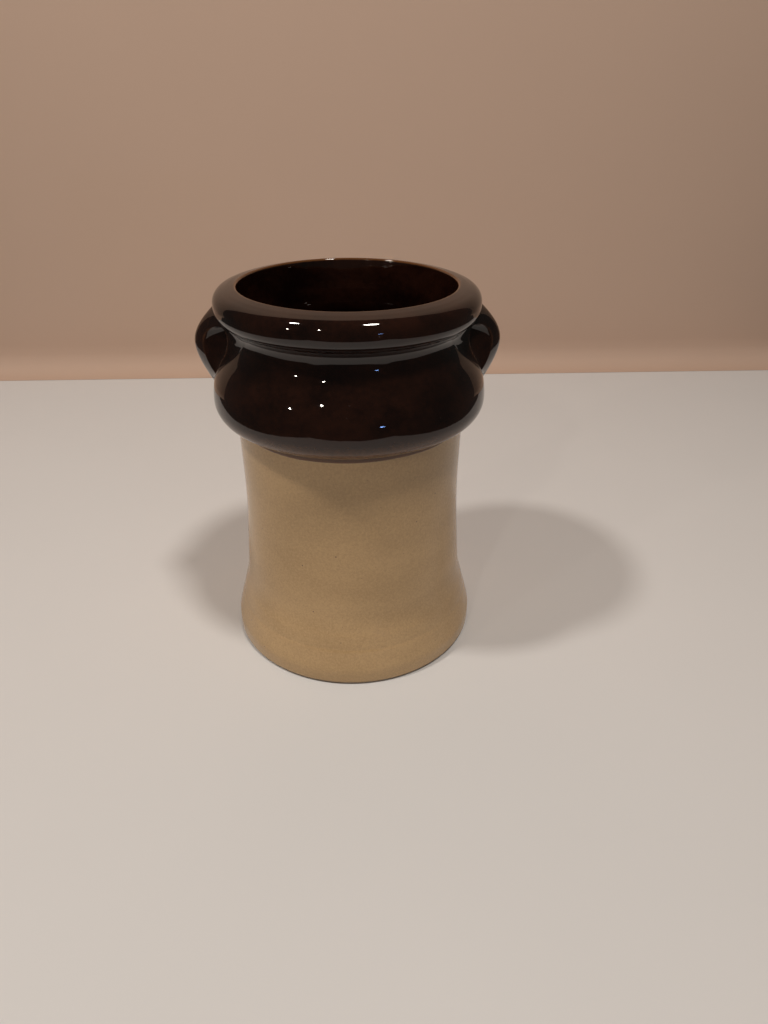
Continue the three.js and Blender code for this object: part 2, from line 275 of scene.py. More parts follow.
def rounded(corners, points=24):
    """Line through corners given as (radius, height, fillet). Each inner corner becomes a circular arc that touches
    both of its sides and reaches back along them by fillet * tan(half the turn); two arcs that would overlap on one
    side shrink together. An arc point is the centre plus the first spoke turned through an even share of the
    corner's turn."""
    at, fillet = corners[:, :2], corners[1:-1, 2]
    back, ahead = at[:-2] - at[1:-1], at[2:] - at[1:-1]
    sides = np.stack([np.linalg.norm(back, axis=1), np.linalg.norm(ahead, axis=1)])
    back, ahead = back / sides[0][:, None], ahead / sides[1][:, None]
    half = (np.pi - np.arccos(np.clip((back * ahead).sum(1), -1, 1))) / 2
    run = fillet * np.tan(half)
    wanted = np.pad(run, 1)
    room = np.minimum(1, np.append(sides[0], sides[1][-1]) / np.maximum(wanted[:-1] + wanted[1:], 1e-9))
    run = run * np.minimum(room[:-1], room[1:])
    inward = back + ahead
    inward /= np.linalg.norm(inward, axis=1)[:, None]
    centre = at[1:-1] + inward * (run / np.sin(half))[:, None]
    spoke = at[1:-1] + back * run[:, None] - centre
    side = np.sign(back[:, 0] * ahead[:, 1] - back[:, 1] * ahead[:, 0])
    angle = -side[:, None] * 2 * half[:, None] * np.linspace(0, 1, points)
    along = spoke[:, :1] * np.cos(angle) - spoke[:, 1:] * np.sin(angle)
    up = spoke[:, :1] * np.sin(angle) + spoke[:, 1:] * np.cos(angle)
    arcs = centre[:, None] + np.stack([along, up], -1)
    line = np.concatenate([at[:1], arcs.reshape(-1, 2), at[-1:]])
    moved = np.hypot(*np.diff(line, axis=0).T) > 1e-7
    return line[np.concatenate([[True], moved])]


def inset(corners, distance):
    """The corners moved square to their line by distance, to its left, along the mitre of the two sides that meet
    at each. A fillet shrinks by the distance on the inside of its bend and grows by it on the outside."""
    along = np.diff(corners[:, :2], axis=0)
    along /= np.linalg.norm(along, axis=1)[:, None]
    normal = np.column_stack([-along[:, 1], along[:, 0]])
    before = np.concatenate([normal[:1], normal])
    after = np.concatenate([normal, normal[-1:]])
    mitre = (before + after) * (distance / (1 + (before * after).sum(1)))[:, None]
    bulges = before[:, 0] * after[:, 1] - before[:, 1] * after[:, 0] > 0
    fillet = np.maximum(corners[:, 2] + np.where(bulges, -distance, distance), LEAST_INNER_ROUND)
    return np.column_stack([corners[:, :2] + mitre, fillet])


def evenly(line, step):
    """The line cut into equal lengths of about step, by linear interpolation over its arc length."""
    run = np.concatenate([[0], np.cumsum(np.hypot(*np.diff(line, axis=0).T))])
    even = np.linspace(0, run[-1], max(math.ceil(run[-1] / step), 1) + 1)
    return np.column_stack([np.interp(even, run, line[:, 0]), np.interp(even, run, line[:, 1])])


def between(line, low, high):
    """The stretch of a rising line between two heights, with its end points added."""
    ends = np.array([[np.interp(height, line[:, 1], line[:, 0]), height] for height in (low, high)])
    inside = line[(line[:, 1] > low + 1e-6) & (line[:, 1] < high - 1e-6)]
    return np.concatenate([ends[:1], inside, ends[1:]])


def ease(low, high, value):
    """Smooth step: 0 below low, 1 above high, and 3t^2 - 2t^3 between."""
    t = np.clip((value - low) / (high - low), 0, 1)
    return t * t * (3 - 2 * t)


def body_corners(shape):
    """Corners of the body from the foot band to the top of the neck: radius, height, fillet."""
    waist, neck = BORE_AT_WAIST + shape.wall, BORE_AT_NECK + shape.wall
    return np.array([
        (FOOT_RADIUS, shape.foot_band, FOOT_BAND_ROUND),
        (waist + shape.flare_step, shape.flare_height, FLARE_ROUND),
        (waist, shape.waist_from, WAIST_ROUND),
        (waist + shape.waist_flare, shape.waist_to, UNDER_BELLY_ROUND),
        (BELLY_RADIUS, shape.belly_from, BELLY_BOTTOM_ROUND),
        (BELLY_RADIUS, shape.belly_to, BELLY_TOP_ROUND),
        (neck, shape.neck_from, NECK_BOTTOM_ROUND),
        (neck, shape.neck_to, NECK_TOP_ROUND),
    ])


def outer_line(shape):
    """Outside of the crock from the table to the mouth, with the faint groove and bead turned over the foot: each is
    a bell curve exp(-(distance / width)^2) taken from or added to the radius."""
    line = rounded(np.concatenate([
        [(FOOT_RADIUS - shape.foot_edge, 0, 0), (FOOT_RADIUS, shape.foot_edge, FOOT_EDGE_ROUND)],
        body_corners(shape),
        [
            (RIM_RADIUS, shape.rim_from, RIM_UNDERSIDE_ROUND),
            (RIM_RADIUS, shape.rim_to, RIM_ROLL_ROUND),
            (MOUTH_RADIUS + shape.crown_width, HEIGHT - shape.crown_drop, CROWN_ROUND),
            (MOUTH_RADIUS, HEIGHT, 0),
        ],
    ]))
    line = np.concatenate([line[:1], evenly(line, PROFILE_STEP)[1:]])
    line[:, 0] -= shape.groove_depth * np.exp(-(((line[:, 1] - shape.groove_height) / GROOVE_WIDTH) ** 2))
    line[:, 0] += shape.groove_depth / 2 * np.exp(-(((line[:, 1] - shape.bead_height) / BEAD_WIDTH) ** 2))
    return line


def inner_line(shape):
    """Inside of the crock from the edge of the base up to the mouth, one wall in from the outside."""
    neck = BORE_AT_NECK + shape.wall
    return rounded(np.concatenate([
        [(BASE_RADIUS, FLOOR_TOP, 0), (FOOT_RADIUS - shape.wall, FLOOR_TOP, FLOOR_ROUND)],
        inset(body_corners(shape), shape.wall)[1:-1],
        [(neck - shape.wall, shape.neck_to, MOUTH_ROUND), (MOUTH_RADIUS, HEIGHT, 0)],
    ]))


def strays(shape, angle, radius, height):
    """Where a point of the true turning lies on the real crock. The radius gains a two-lobed and a three-lobed
    cosine that grow with height, and near the lower edge of the brown coat the height gains a sum of three
    cosines over the sum of their weights, which dies out within a few millimetres above and below."""
    lobes = np.cos(2 * angle + 0.6) + 0.6 * np.cos(3 * angle + 2.1)
    radius = radius + shape.out_of_round * lobes * height / HEIGHT
    wave, weights = np.cos(2 * angle + 1.2) + 0.5 * np.cos(5 * angle) + 0.3 * np.cos(11 * angle + 0.8), 1.8
    near = np.exp(-(((height - GLAZE_LINE) / WANDER_REACH) ** 2))
    height = height + shape.wander / weights * wave * near
    return np.stack([radius * np.cos(angle), radius * np.sin(angle), height], -1)


def quads(rows, columns, first=0, wrap_rows=False):
    """Faces between neighbouring points of a grid whose columns close on themselves."""
    row = np.arange(rows if wrap_rows else rows - 1)[:, None]
    column = np.arange(columns)[None, :]
    above, right = (row + 1) % rows, (column + 1) % columns
    corners = (row * columns + column, row * columns + right, above * columns + right, above * columns + column)
    return first + np.stack(np.broadcast_arrays(*corners), -1).reshape(-1, 4)


def shaped(name, points, faces, finishes, finish_of, thin, sharp=50):
    """Mesh object from arrays: points, a list of arrays of faces, the materials, the material of each face, and how
    much lighter the glaze is at each point, from thin glaze over edges and from painted light on the underside of
    the belly, kept in a point attribute. Edges sharper than sharp stay sharp."""
    mesh = bpy.data.meshes.new(name)
    loops = np.concatenate([group.ravel() for group in faces])
    sizes = np.concatenate([np.full(len(group), group.shape[1]) for group in faces])
    mesh.vertices.add(len(points))
    mesh.vertices.foreach_set("co", points.astype(np.float32).ravel())
    mesh.loops.add(len(loops))
    mesh.loops.foreach_set("vertex_index", loops.astype(np.int32))
    mesh.polygons.add(len(sizes))
    mesh.polygons.foreach_set("loop_start", (np.cumsum(sizes) - sizes).astype(np.int32))
    mesh.polygons.foreach_set("material_index", finish_of.astype(np.int32))
    mesh.update(calc_edges=True)
    if mesh.validate():
        raise RuntimeError(f"{name} came out with faces that aren't valid")
    for finish in finishes:
        mesh.materials.append(finish)
    mesh.attributes.new("glaze_break_and_painted_light", "FLOAT", "POINT").data.foreach_set("value", thin.astype(np.float32))
    mesh.shade_smooth()
    mesh.set_sharp_from_angle(angle=math.radians(sharp))
    piece = bpy.data.objects.new(name, mesh)
    bpy.context.scene.collection.objects.link(piece)
    return piece


def breaks(line):
    """How thin a glaze lies along a line: it grows with the curvature of outward bends, from 0 where the radius of
    the bend is 7 mm or more to 1 where it is 1.2 mm or less."""
    slope = np.unwrap(np.arctan2(np.gradient(line[:, 1]), np.gradient(line[:, 0])))
    run = np.concatenate([[0], np.cumsum(np.hypot(*np.diff(line, axis=0).T))])
    return ease(1 / THICK_ON_BEND, 1 / THIN_ON_BEND, np.gradient(slope, run))


def turned(name, shape, line, finishes, finish_of_row, thin, closed=True):
    """A line of (radius, height) points carried round the axis: the point at angle a is (radius cos a, radius sin a,
    height), then moved as strays says. A closed line makes a ring; an open one starts and ends on the axis, and
    closes there in a fan."""
    angle = np.arange(shape.segments) * (2 * np.pi / shape.segments)
    inner = line if closed else line[1:-1]
    points = strays(shape, angle[None, :], inner[:, :1], inner[:, 1:]).reshape(-1, 3)
    faces = [quads(len(inner), shape.segments, wrap_rows=closed)]
    thin = np.repeat(thin if closed else thin[1:-1], shape.segments)
    if closed:
        return shaped(name, points, faces, finishes, np.repeat(finish_of_row, shape.segments), thin)
    poles = np.array([(0, 0, line[0, 1]), (0, 0, line[-1, 1])])
    column = np.arange(shape.segments)
    right, last = (column + 1) % shape.segments, (len(inner) - 1) * shape.segments
    below, above = np.full_like(column, len(points)), np.full_like(column, len(points) + 1)
    faces += [np.column_stack([below, right, column]), np.column_stack([last + column, last + right, above])]
    finish_of = np.repeat(finish_of_row[[*range(1, len(inner)), 0, len(inner)]], shape.segments)
    return shaped(name, np.concatenate([points, poles]), faces, finishes, finish_of, np.append(thin, [0, 0]))


def with_rows(line, heights):
    """A rising line with points added at some heights, so that its rows lie close where its shape changes fast."""
    rows = np.unique(np.round(np.concatenate([line[:, 1], heights]), 7))
    rows = rows[(rows >= line[0, 1]) & (rows <= line[-1, 1])]
    return np.column_stack([np.interp(rows, line[:, 1], line[:, 0]), rows])


def coated(shape, line):
    """The outside under the brown coat. Over its lower edge the coat is proud by thickness * sqrt(1 - (1 - t)^2),
    where t rises from 0 to 1 over the lip, and it eases back into the body over the next centimetre."""
    t = np.clip((line[:, 1] - GLAZE_LINE) / shape.coat_lip, 0, 1)
    fade = 1 - ease(GLAZE_LINE + COAT_FADES_FROM, GLAZE_LINE + COAT_FADES_TO, line[:, 1])
    proud = shape.coat * np.sqrt(1 - (1 - t) ** 2) * fade
    return np.column_stack([line[:, 0] + proud, line[:, 1]])


def ring(name, shape, outside, inside, finishes, mouth=False):
    """A ring of the body. Its outside runs up and its inside runs down, and a flat joint closes it at each end; at
    the mouth the two meet in one edge."""
    inside = inside[::-1][1:] if mouth else inside[::-1]
    line = np.concatenate([outside, inside])
    # Painted light: the underside of the belly, which faces the bright table, is painted lighter brown, fading out
    # upwards
    underside_light_fade = ease(GLAZE_LINE + UNDERSIDE_LIGHT_FADES_FROM, GLAZE_LINE + UNDERSIDE_LIGHT_FADES_TO, outside[:, 1])
    underside_painted_light = shape.underside_painted_light * (1 - underside_light_fade)
    thin = np.concatenate([np.maximum(breaks(outside), underside_painted_light), np.zeros(len(inside))])
    finish_of_row = (np.arange(len(line)) >= len(outside)).astype(int)
    return turned(name, shape, line, finishes, finish_of_row, thin)


# Finishes


class Wire:
    """One output of a node. Arithmetic on it adds Math nodes, so a mask is written as an expression."""

    def __init__(self, bench, socket):
        self.bench, self.socket = bench, socket

    def math(self, operation, first, second):
        return self.bench.add("ShaderNodeMath", {"operation": operation}, {0: first, 1: second})

    def __add__(self, other):
        return self.math("ADD", self, other)

    def __sub__(self, other):
        return self.math("SUBTRACT", self, other)

    def __rsub__(self, other):
        return self.math("SUBTRACT", other, self)

    def __mul__(self, other):
        return self.math("MULTIPLY", self, other)

    __radd__, __rmul__ = __add__, __mul__


class Bench:
    """The node tree of one finish."""

    def __init__(self, name):
        self.material = bpy.data.materials.new(name)
        self.material.use_nodes = True
        self.tree = self.material.node_tree
        self.tree.nodes.clear()
        self.place = self.add("ShaderNodeTexCoord", output="Object")

    def add(self, kind, settings=None, inputs=None, output=0):
        """A node of that kind: its settings, then the values or wires of its inputs. Gives one output as a wire."""
        node = self.tree.nodes.new(kind)
        for name, value in (settings or {}).items():
            setattr(node, name, value)
        for key, value in (inputs or {}).items():
            if isinstance(value, Wire):
                self.tree.links.new(value.socket, node.inputs[key])
            else:
                node.inputs[key].default_value = value
        return Wire(self, node.outputs[output])

    def noise(self, scale, detail=2.0, roughness=0.5, stretch=(1, 1, 1)):
        """Smooth noise from 0 to 1 with features about 1 / scale metres across."""
        place = self.add("ShaderNodeMapping", None, {"Vector": self.place, "Scale": stretch})
        inputs = {"Vector": place, "Scale": scale, "Detail": detail, "Roughness": roughness}
        return self.add("ShaderNodeTexNoise", None, inputs)

    def dots(self, scale, size, seed=0.0):
        """1 in small round dots, one at most in each cell of 1 / scale metres, and 0 elsewhere."""
        place = self.add("ShaderNodeMapping", None, {"Vector": self.place, "Location": (seed, seed, seed)})
        distance = self.add("ShaderNodeTexVoronoi", None, {"Vector": place, "Scale": scale})
        return 1 - self.step(distance, size / 2, size)

    def step(self, value, low, high):
        """Smooth step from 0 at low to 1 at high."""
        inputs = {"Value": value, "From Min": low, "From Max": high}
        return self.add("ShaderNodeMapRange", {"interpolation_type": "SMOOTHSTEP"}, inputs)

    def blend(self, factor, first, second):
        """One colour fading into another."""
        colours = [c if isinstance(c, Wire) else (*c, 1.0) for c in (first, second)]
        inputs = {0: factor, 6: colours[0], 7: colours[1]}
        return self.add("ShaderNodeMix", {"data_type": "RGBA"}, inputs, output=2)

    def bump(self, height, distance):
        """Surface normal of a relief that is distance high where height is 1."""
        return self.add("ShaderNodeBump", None, {"Height": height, "Distance": distance, "Strength": 1.0})

    def finish(self, inputs):
        """Ends the tree in one surface shader and gives the material."""
        shader = self.add("ShaderNodeBsdfPrincipled", None, inputs)
        output = self.tree.nodes.new("ShaderNodeOutputMaterial")
        self.tree.links.new(shader.socket, output.inputs["Surface"])
        return self.material


def brown_glaze(look):
    """Dark, wet-looking iron glaze: two browns in soft clouds with a fine mottle, lighter where it breaks over an
    edge and where light is painted on the underside of the belly, with a faint orange peel and a few pinholes."""
    bench = Bench("crock_brown_glaze")
    clouds = bench.noise(26, detail=3, roughness=0.55, stretch=(1, 1, 1.6))
    mottle = bench.noise(420, detail=3, roughness=0.6)
    grain = bench.noise(2300, detail=1)
    # How much lighter the brown is: thin glaze over edges, and painted light on the underside of the belly
    thin = bench.add("ShaderNodeAttribute", {"attribute_name": "glaze_break_and_painted_light"}, output="Fac")
    warm = bench.step(clouds * 0.75 + mottle * 0.25 + thin * 0.3, 0.36, 0.68)
    brown = bench.blend(warm, look.brown_deep, look.brown_warm)
    edge = bench.step(thin + (mottle - 0.5) * 0.5, 0.25, 0.95)
    brown = bench.blend(edge, brown, look.brown_break_and_painted_light)
    pits = bench.dots(120, size=0.05, seed=3.1)
    relief = bench.noise(95) * 0.8 + mottle * 0.16 + grain * 0.03 - pits * 0.5
    return bench.finish({
        "Base Color": brown,
        "Roughness": look.brown_rough + mottle * 0.02 + pits * 0.3,
        "IOR": 1.54,
        "Normal": bench.bump(relief, distance=0.00005),
    })


def cream_glaze(look):
    """Clear glaze over buff clay: two creams in soft clouds drawn out round the body, a fine grain, and a scatter of
    small iron specks."""
    bench = Bench("crock_cream_glaze")
    clouds = bench.noise(20, detail=3, stretch=(1, 1, 2.4))
    grain = bench.noise(900, detail=3, roughness=0.7)
    fine = bench.noise(2600)
    tone = bench.step(clouds * 0.35 + grain * 0.45 + fine * 0.2, 0.34, 0.68)
    cream = bench.blend(tone, look.cream_dark, look.cream_light)
    specks = bench.dots(75, size=0.034) + bench.dots(210, size=0.055, seed=7.7) * 0.5
    cream = bench.blend(specks, cream, look.cream_speck)
    relief = bench.noise(60) * 0.7 + grain * 0.12 + fine * 0.05 - specks * 0.4
    return bench.finish({
        "Base Color": cream,
        "Roughness": look.cream_rough + grain * 0.08 + specks * 0.2,
        "IOR": 1.55,
        "Normal": bench.bump(relief, distance=0.00007),
    })


def bare_clay(look):
    """Unglazed stoneware: sandy and matt."""
    bench = Bench("crock_bare_clay")
    sand = bench.noise(1500, detail=3, roughness=0.7)
    clouds = bench.noise(60, detail=3)
    clay = bench.blend(bench.step(clouds * 0.5 + sand * 0.5, 0.3, 0.7), look.clay_dark, look.clay_light)
    return bench.finish({
        "Base Color": clay,
        "Roughness": 0.78 + sand * 0.15,
        "Normal": bench.bump(sand, distance=0.00025),
    })


FINISHES = {"brown_glaze": brown_glaze, "cream_glaze": cream_glaze, "bare_clay": bare_clay}


def finish(scene, name):
    """The finish of that name, mixed once and then shared."""
    return bpy.data.materials.get(f"crock_{name}") or FINISHES[name](scene.crock_look)


def place(piece, node, slot):
    """Makes a piece stand for its CAD node: hangs it under the root body and hides the node. The slot is not used.
    """
    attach(piece, "root")
    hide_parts(node)


# Ears


def ear_ridge(ears, line, height):
    """Distance from the axis to the ridge of an ear at each height: two cubic Bezier arcs, from the tip out to the
    middle and on to the top, read as a function of height and run on straight past both ends."""
    tip = np.interp(EAR_TIP, line[:, 1], line[:, 0]) + ears.proud_at_ends
    top = np.interp(EAR_TOP, line[:, 1], line[:, 0]) + ears.proud_at_ends
    rise = (EAR_TOP - EAR_TIP) / 6
    lower = [(tip, EAR_TIP), ((tip + EAR_REACH) / 2, EAR_TIP + rise)]
    middle = [(EAR_REACH, ears.middle - rise), (EAR_REACH, ears.middle)]
    upper = [(EAR_REACH, ears.middle + rise), (0.4 * top + 0.6 * EAR_REACH, EAR_TOP - rise), (top, EAR_TOP)]
    t = np.linspace(0, 1, 80)[:, None]
    weights = np.hstack([(1 - t) ** 3, 3 * (1 - t) ** 2 * t, 3 * (1 - t) * t**2, t**3])
    arcs = np.concatenate([weights @ np.array(lower + middle), (weights @ np.array(middle[1:] + upper))[1:]])
    ridge = np.interp(height, arcs[:, 1], arcs[:, 0])
    slope_below = (arcs[1, 0] - arcs[0, 0]) / (arcs[1, 1] - arcs[0, 1])
    slope_above = (arcs[-1, 0] - arcs[-2, 0]) / (arcs[-1, 1] - arcs[-2, 1])
    below, above = np.minimum(height - EAR_TIP, 0), np.maximum(height - EAR_TOP, 0)
    return ridge + slope_below * below + slope_above * above


def ear_face(ears, line, wall, angle, height):
    """Distance from the axis to the surface of an ear, before its hollows. In plan the ear is the hyperbola
    y^2 = k^2 d^2 + 2 n d, where d is the depth behind the ridge, n the radius of the nose, and k is set so that the
    curve passes through the root. The ray at that angle meets it at the positive root of A R^2 + B R + C = 0."""
    ridge = ear_ridge(ears, line, height)
    surface = np.interp(height, line[:, 1], line[:, 0])
    surface = np.where(height > NECK_JOINT, np.minimum(surface, BORE_AT_NECK + wall), surface)
    root = surface - ears.root_depth
    spread = ears.root_angle * np.maximum((height - EAR_TIP) / (EAR_TOP - EAR_TIP), 0) ** ROOT_TAPER
    depth = ridge - root * np.cos(spread)
    k2 = np.maximum((root * np.sin(spread)) ** 2 - 2 * ears.nose * depth, 0) / depth**2
    cos, sin = np.cos(angle), np.sin(angle)
    a = sin**2 - k2 * cos**2
    b = 2 * cos * (k2 * ridge + ears.nose)
    c = -(k2 * ridge**2 + 2 * ears.nose * ridge)
    face = -2 * c / (b + np.sqrt(np.maximum(b**2 - 4 * a * c, 0)))
    return face - ears.root_fall * np.maximum(np.abs(angle) - spread, 0)


def hollow(ears, angle, height):
    """How far into a hollow a point is, 0 at its middle line and 1 at its edge, and how far up it, v. The hollow is
    a drop, pointed below and round above: its half width is w v^0.6 sqrt(1 - v^6), where v rises from 0 to 1."""
    v = np.clip((height - ears.hollow_from) / (ears.hollow_to - ears.hollow_from), 1e-4, 1 - 1e-4)
    middle = ears.hollow_angle + ears.hollow_lean * v
    half = ears.hollow_width * v**0.6 * np.sqrt(1 - v**6)
    return np.abs(np.abs(angle) - middle) / half, v


def ear_surface(ears, line, wall, angle, height):
    """Outer surface of an ear and of the body round it: the ear less its hollows, joined to the body by the smooth
    maximum max(p, e) + h^2 / 4k with h = max(k - |p - e|, 0). A hollow is depth (1 - q^2)^0.8 (s + (1 - s) v)
    deep, so that its floor stands upright under a steep ceiling."""
    pot = np.interp(height, line[:, 1], line[:, 0])
    face = ear_face(ears, line, wall, angle, height)
    q, v = hollow(ears, angle, height)
    growth = ears.hollow_start + (1 - ears.hollow_start) * v
    face = face - ears.hollow_depth * growth * np.maximum(1 - q**2, 0) ** 0.8
    at_rim = ease(NECK_JOINT, EAR_TOP, height)
    k = ears.blend + (ears.blend_at_rim - ears.blend) * at_rim
    h = np.maximum(k - np.abs(pot - face), 0)
    return np.maximum(pot, face) + h**2 / (4 * k), face - pot + k


def ear(name, shape, ears, finishes, facing):
    """An ear: a grid over height and angle, whose width at each height is that of the ear and its blend. A second
    grid 3 mm inside the body closes it from behind."""
    line = outer_line(shape)
    height = np.linspace(EAR_TIP - EAR_BELOW, EAR_TOP + EAR_ABOVE, EAR_ROWS)[:, None]
    fan = np.radians(np.linspace(0, FAN_DEGREES, FAN_RAYS))[None, :]
    proud = ear_surface(ears, line, shape.wall, fan, height)[1]
    reached = np.where(proud > 0, fan, 0).max(1)
    half = np.maximum(reached, LEAST_HALF_ANGLE) + MARGIN_ANGLE
    padded = np.pad(half, EVENED_ROWS // 2, mode="edge")
    half = np.convolve(padded, np.full(EVENED_ROWS, 1 / EVENED_ROWS), "valid")[:, None]
    angle = half * np.linspace(-1, 1, EAR_COLUMNS)[None, :]
    pot = np.broadcast_to(np.interp(height, line[:, 1], line[:, 0]), angle.shape)
    front = ear_surface(ears, line, shape.wall, angle, height)[0] + EAR_SKIN
    back = pot - EAR_BACK
    loop_angle = np.hstack([angle, angle[:, ::-1]]) + facing
    loop_radius = np.hstack([front, back[:, ::-1]])
    points = strays(shape, loop_angle, loop_radius, np.broadcast_to(height, loop_angle.shape)).reshape(-1, 3)
    around = 2 * EAR_COLUMNS
    near = np.arange(EAR_COLUMNS - 1)
    far = around - 1 - near
    bottom = np.column_stack([near, far, far - 1, near + 1])
    top = (EAR_ROWS - 1) * around + bottom[:, ::-1]
    q = hollow(ears, angle, height)[0]
    nose = np.exp(-((angle / NOSE_ANGLE) ** 2)) * ease(EAR_TIP, EAR_TIP + NOSE_START, height)
    lip = np.exp(-(((q - LIP_AT) / LIP_WIDTH) ** 2)) * ease(LIP_FROM, LIP_TO, (height - ears.hollow_from) / LIP_RISE)
    thin = np.hstack([np.maximum(NOSE_THIN * nose, LIP_THIN * lip), np.zeros_like(angle)])
    faces = [quads(EAR_ROWS, around), bottom, top]
    finish_of = np.zeros(sum(len(group) for group in faces))
    return shaped(name, points, faces, finishes, finish_of, thin.ravel(), sharp=60)


# Operators


class CROCK_OT_base(Operator):
    """Make the slab that closes the bottom, bare below and glazed inside"""

    bl_idname = "crock.base"
    bl_label = "Base slab"

    def execute(self, context):
        shape = context.scene.crock_shape
        under = evenly(np.array([(0, BASE_UNDERSIDE), (BASE_RADIUS, BASE_UNDERSIDE)]), SLAB_STEP)
        over = evenly(np.array([(BASE_RADIUS, FLOOR_TOP), (0, FLOOR_TOP)]), SLAB_STEP)
        line = np.concatenate([under, over])
        finish_of_row = (np.arange(len(line)) >= len(under) - 1).astype(int)
        finishes = [finish(context.scene, "bare_clay"), finish(context.scene, "brown_glaze")]
        slab = turned("base_slab", shape, line, finishes, finish_of_row, np.zeros(len(line)), closed=False)
        place(slab, "base_disc", "bare_clay")
        return {"FINISHED"}


class CROCK_OT_foot(Operator):
    """Make the foot ring, glazed outside and inside and bare where it stands"""

    bl_idname = "crock.foot"
    bl_label = "Foot ring"

    def execute(self, context):
        shape = context.scene.crock_shape
        outside = between(outer_line(shape), 0, FOOT_JOINT)
        dry = evenly(between(outside, 0, DRY_HEIGHT), DRY_STEP)
        wet = evenly(between(outside, DRY_HEIGHT, FOOT_JOINT), FOOT_STEP)[1:]
        inside = evenly(between(inner_line(shape), FLOOR_TOP, FOOT_JOINT), FOOT_INSIDE_STEP)[::-1]
        stand = FOOT_RADIUS - shape.foot_edge - shape.stand_width
        under = rounded(np.array([
            (BASE_RADIUS, BASE_UNDERSIDE, 0),
            (stand - BASE_UNDERSIDE, BASE_UNDERSIDE, STAND_ROUND),
            (stand, 0, STAND_ROUND),
            (outside[0, 0], 0, 0),
        ]), 6)[:-1]
        line = np.concatenate([dry, wet, inside, under])
        bounds = np.cumsum([len(dry), len(wet), len(inside)])
        finish_of_row = np.digitize(np.arange(len(line)) + 1, bounds)
        finish_of_row = np.array([2, 0, 1, 2])[finish_of_row]
        names = ("cream_glaze", "brown_glaze", "bare_clay")
        finishes = [finish(context.scene, name) for name in names]
        foot = turned("foot", shape, line, finishes, finish_of_row, np.zeros(len(line)))
        place(foot, "foot_ring", "cream_glaze")
        return {"FINISHED"}


class CROCK_OT_barrel(Operator):
    """Make the cream barrel"""

    bl_idname = "crock.barrel"
    bl_label = "Barrel"

    def execute(self, context):
        shape = context.scene.crock_shape
        outside = evenly(between(outer_line(shape), FOOT_JOINT, GLAZE_LINE), BARREL_STEP)
        inside = evenly(between(inner_line(shape), FOOT_JOINT, GLAZE_LINE), BARREL_INSIDE_STEP)
        finishes = [finish(context.scene, "cream_glaze"), finish(context.scene, "brown_glaze")]
        place(ring("barrel_wall", shape, outside, inside, finishes), "barrel", "cream_glaze")
        return {"FINISHED"}


class CROCK_OT_belly(Operator):
    """Make the brown belly and shoulder, with the rounded lower edge of the brown coat"""

    bl_idname = "crock.belly"
    bl_label = "Belly and shoulder"

    def execute(self, context):
        shape = context.scene.crock_shape
        lip = GLAZE_LINE + shape.coat_lip * (1 - np.cos(np.linspace(0, np.pi / 2, 9)))
        outside = evenly(between(outer_line(shape), GLAZE_LINE, NECK_JOINT), BELLY_STEP)
        outside = coated(shape, with_rows(outside, lip))
        inside = evenly(between(inner_line(shape), GLAZE_LINE, NECK_JOINT), BELLY_INSIDE_STEP)
        finishes = [finish(context.scene, "brown_glaze")] * 2
        place(ring("belly_shoulder", shape, outside, inside, finishes), "shoulder", "brown_glaze")
        return {"FINISHED"}


class CROCK_OT_neck(Operator):
    """Make the straight neck under the rim"""

    bl_idname = "crock.neck"
    bl_label = "Neck"

    def execute(self, context):
        shape = context.scene.crock_shape
        outside = evenly(between(outer_line(shape), NECK_JOINT, RIM_JOINT), NECK_STEP)
        inside = evenly(between(inner_line(shape), NECK_JOINT, RIM_JOINT), NECK_INSIDE_STEP)
        finishes = [finish(context.scene, "brown_glaze")] * 2
        place(ring("neck", shape, outside, inside, finishes), "neck_collar", "brown_glaze")
        return {"FINISHED"}


class CROCK_OT_rim(Operator):
    """Make the rolled rim, with its sloping crown and the soft edge of the mouth"""

    bl_idname = "crock.rim"
    bl_label = "Rolled rim"

    def execute(self, context):
        shape = context.scene.crock_shape
        outside = between(outer_line(shape), RIM_JOINT, HEIGHT)
        inside = between(inner_line(shape), RIM_JOINT, HEIGHT)[::-1]
        corner = np.concatenate([outside[:-1], inside])
        edge = len(outside) - 1
        reach = round(shape.arris / PROFILE_STEP) * 3
        start, end = edge - reach, edge + 1
        turn_at = np.array([(*outside[start], 0), (*corner[edge], shape.arris), (*inside[end - edge], 0)])
        arris = rounded(turn_at, 16)
        around = evenly(np.concatenate([outside[:start], arris, inside[end - edge + 1:]]), RIM_STEP)
        top, beyond = np.argmax(around[:, 1]), 6
        thin = breaks(around) * (np.arange(len(around)) <= top + beyond)
        finishes = [finish(context.scene, "brown_glaze")]
        roll = turned("rim_roll", shape, around, finishes, np.zeros(len(around)), thin)
        place(roll, "rolled_rim", "brown_glaze")
        return {"FINISHED"}


class CROCK_OT_ears(Operator):
    """Make the two ears with a hollow in each face"""

    bl_idname = "crock.ears"
    bl_label = "Ears"

    def execute(self, context):
        scene = context.scene
        finishes = [finish(scene, "brown_glaze")]
        for side, facing in (("right", 0.0), ("left", math.pi)):
            lug = ear(f"ear_{side}", scene.crock_shape, scene.crock_ears, finishes, facing)
            place(lug, f"{side}_ear", "brown_glaze")
        return {"FINISHED"}


def plain(name, colour, roughness):
    """A plain matt finish for the stage, in faint clouds of the colour and a slightly darker one."""
    shade = 0.97
    bench = Bench(name)
    tone = bench.noise(9, detail=3)
    darker = tuple(shade * c for c in colour)
    return bench.finish({"Base Color": bench.blend(tone, darker, tuple(colour)), "Roughness": roughness})


def sheet(rows, columns):
    """Faces between neighbouring points of an open grid."""
    near = np.arange(rows - 1)[:, None] * columns + np.arange(columns - 1)[None, :]
    return np.stack([near, near + 1, near + 1 + columns, near + columns], -1).reshape(-1, 4)


def towards(azimuth, elevation):
    """Direction from the crock: azimuth in degrees from the camera's side towards +X, elevation over the table."""
    a, e = math.radians(azimuth), math.radians(elevation)
    return Vector((math.sin(a) * math.cos(e), -math.cos(a) * math.cos(e), math.sin(e)))


